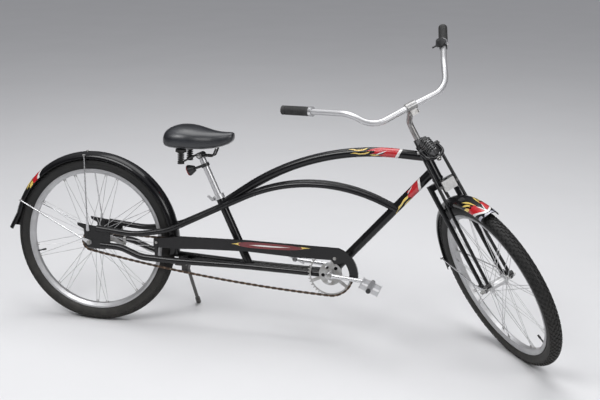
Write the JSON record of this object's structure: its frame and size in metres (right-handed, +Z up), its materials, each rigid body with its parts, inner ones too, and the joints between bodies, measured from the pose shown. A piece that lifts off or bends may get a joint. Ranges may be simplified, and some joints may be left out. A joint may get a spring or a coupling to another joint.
{
  "type": "bicycle",
  "caption": "Black stretched cruiser bicycle with a springer fork, flame stripes, two fenders and a chain guard, on its side stand",
  "frame": {"origin": "centre of the bounding box, on the floor", "axes": "+X forward, +Y to the rider's left, +Z up"},
  "size_m": [2.18, 0.7503, 1.1702],
  "materials": {
    "black_paint": "gloss",
    "rim_grey": "satin",
    "silver": "satin",
    "bright": "gloss",
    "tyre_black": "matte",
    "chain_brown": "satin",
    "seat_black": "gloss",
    "grip_black": "matte",
    "plastic_black": "satin",
    "lens_red": "gloss",
    "lens_white": "gloss",
    "leg_black": "satin"
  },
  "bodies": {
    "frame": {"head_tube": "black_paint", "top_tube": "black_paint", "down_tube": "black_paint", "seat_tube": "black_paint", "twin_tubes": "black_paint", "lower_tubes": "black_paint", "bottom_bracket": "black_paint", "dropouts": "black_paint", "bridges": "black_paint", "seat_clamp": "bright", "seat_post": "bright", "saddle": "seat_black", "saddle_springs": "leg_black", "seat_reflector": "plastic_black", "seat_reflector_lens": "lens_red", "rear_fender": "black_paint", "rear_fender_stays": "bright", "chain_guard": "black_paint", "guard_brackets": "silver", "chain": "chain_brown", "rear_axle": "silver", "brake_arm": "silver", "stand_bracket": "leg_black"},
    "front_wheel": {"front_tyre": "tyre_black", "front_rim": "rim_grey", "front_hub": "silver"},
    "rear_wheel": {"rear_tyre": "tyre_black", "rear_rim": "rim_grey", "rear_hub": "silver"},
    "cog": {"sprocket": "silver"},
    "crank_set": {"crank": "silver", "chainring": "silver"},
    "pedal_set_right": {"pedal_right": "silver", "pedal_cap_right": "plastic_black"},
    "pedal_set_left": {"pedal_left": "silver", "pedal_cap_left": "plastic_black"},
    "stand": {"stand_leg": "leg_black"},
    "fork": {"steerer": "black_paint", "fork_legs": "black_paint", "fork_struts": "black_paint", "fork_spring": "leg_black", "rockers": "black_paint", "front_axle": "silver", "front_fender": "black_paint", "front_fender_stays": "bright", "reflector_bracket": "leg_black", "front_reflector": "lens_white", "stem": "bright", "handlebar": "bright", "grips": "grip_black", "grip_rings": "bright", "bell": "plastic_black"}
  },
  "joints": [
    {"name": "rear_wheel_spin", "type": "hinge", "parent": "frame", "child": "rear_wheel", "pos_m": [-0.71575, -0.03356, 0.33132], "axis": [0, 0.9945, -0.1045], "continuous": true},
    {"name": "steering", "type": "hinge", "parent": "frame", "child": "fork", "pos_m": [0.6126, 0.00293, 0.67856], "axis": [-0.4942, 0.0909, 0.8646], "range_deg": [-15, 135]},
    {"name": "front_wheel_spin", "type": "hinge", "parent": "fork", "child": "front_wheel", "pos_m": [0.86261, -0.09101, 0.31087], "axis": [0.7529, 0.542, 0.3734], "continuous": true},
    {"name": "crank_spin", "type": "hinge", "parent": "frame", "child": "crank_set", "pos_m": [0.24894, -0.03873, 0.28219], "axis": [0, 0.9945, -0.1045], "continuous": true},
    {"name": "sprocket_spin", "type": "hinge", "parent": "frame", "child": "cog", "pos_m": [-0.71575, -0.07732, 0.33592], "axis": [0, 0.9945, -0.1045], "continuous": true},
    {"name": "pedal_right_spin", "type": "hinge", "parent": "crank_set", "child": "pedal_set_right", "pos_m": [0.41346, -0.15939, 0.2822], "axis": [0, 0.9945, -0.1045], "continuous": true},
    {"name": "pedal_left_spin", "type": "hinge", "parent": "crank_set", "child": "pedal_set_left", "pos_m": [0.08443, 0.08193, 0.28218], "axis": [0, 0.9945, -0.1045], "continuous": true},
    {"name": "kickstand_fold", "type": "hinge", "parent": "frame", "child": "stand", "pos_m": [-0.34437, -0.00764, 0.23361], "axis": [-0.0835, 0.7809, 0.6191], "range_deg": [0, 74]}
  ],
  "couplings": [
    {"joint": "sprocket_spin", "follows": "crank_spin", "ratio": 2.3333}
  ]
}
